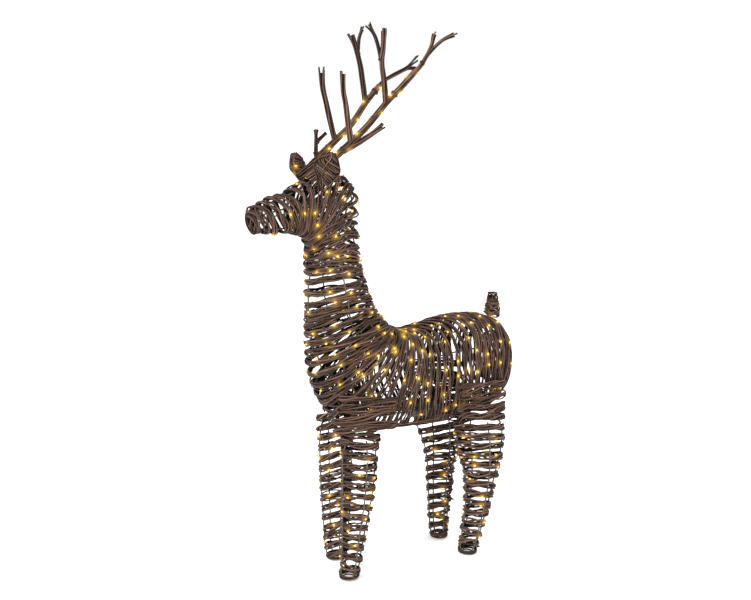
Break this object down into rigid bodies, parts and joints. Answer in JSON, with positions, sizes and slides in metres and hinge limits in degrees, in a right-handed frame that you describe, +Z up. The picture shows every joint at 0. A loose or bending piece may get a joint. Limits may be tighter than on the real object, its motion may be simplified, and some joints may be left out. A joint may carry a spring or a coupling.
{
  "type": "light up yard reindeer",
  "caption": "Standing reindeer of twig bundles wound on a welded wire frame, with plug-in antlers, strings of small lamps and a battery box in the belly.",
  "frame": {"origin": "on the ground, below the middle of the length and the width", "axes": "+Z up; the nose points to -Y; the animal's left side is +X"},
  "size_m": [0.246, 0.6291, 1.1975],
  "materials": {
    "twig": "matt brown twig bundles",
    "wire": "olive grey satin",
    "lamps": "amber lamps on silver wire",
    "case": "black, fine texture",
    "button": "grey",
    "cell": "gloss sleeve",
    "board": "green solder mask",
    "metal": "zinc plated"
  },
  "bodies": {
    "deer": {"antler_socket_left": "metal", "antler_socket_right": "metal", "battery_bracket": "metal", "battery_case": "case", "battery_cell_1": "cell", "battery_cell_2": "cell", "battery_cell_3": "cell", "battery_lead": "case", "bracket_screw_left": "metal", "bracket_screw_right": "metal", "contact_plate_front": "metal", "contact_plate_rear": "metal", "control_board": "board", "frame_ear_left": "wire", "frame_ear_right": "wire", "frame_leg_front_left": "wire", "frame_leg_front_right": "wire", "frame_leg_hind_left": "wire", "frame_leg_hind_right": "wire", "frame_neck": "wire", "frame_tail": "wire", "frame_trunk": "wire", "lead_connector": "case", "lead_gland": "case", "lid_hinge_pin": "metal", "light_string_head": "lamps", "light_string_leg_front_left": "lamps", "light_string_leg_front_right": "lamps", "light_string_leg_hind_left": "lamps", "light_string_leg_hind_right": "lamps", "light_string_neck": "lamps", "light_string_trunk": "lamps", "wicker_chest": "twig", "wicker_ear_left": "twig", "wicker_ear_right": "twig", "wicker_head": "twig", "wicker_leg_front_left": "twig", "wicker_leg_front_right": "twig", "wicker_leg_hind_left": "twig", "wicker_leg_hind_right": "twig", "wicker_muzzle": "twig", "wicker_neck": "twig", "wicker_rump": "twig", "wicker_tail": "twig", "wicker_trunk": "twig"},
    "antler_left": {"antler_left": "twig", "antler_spigot_left": "metal", "light_string_antler_left": "lamps"},
    "antler_right": {"antler_right": "twig", "antler_spigot_right": "metal", "light_string_antler_right": "lamps"},
    "battery_lid": {"battery_lid": "case"},
    "timer_button": {"timer_button": "button"}
  },
  "joints": [
    {"name": "antler_left_pull", "type": "slide", "parent": "deer", "child": "antler_left", "axis": [0.1383, 0.7608, 0.634], "range_m": [0, 0.04]},
    {"name": "antler_right_pull", "type": "slide", "parent": "deer", "child": "antler_right", "axis": [-0.1404, 0.772, 0.6199], "range_m": [0, 0.04]},
    {"name": "lid_hinge", "type": "hinge", "parent": "deer", "child": "battery_lid", "pos_m": [0, 0.1451, 0.3312], "axis": [1, 0, 0], "range_deg": [0, 100]},
    {"name": "button_press", "type": "slide", "parent": "deer", "child": "timer_button", "axis": [0, 1, 0], "range_m": [0, 0.0012], "stiffness_N_per_m": 300, "springref_m": -0.001}
  ]
}
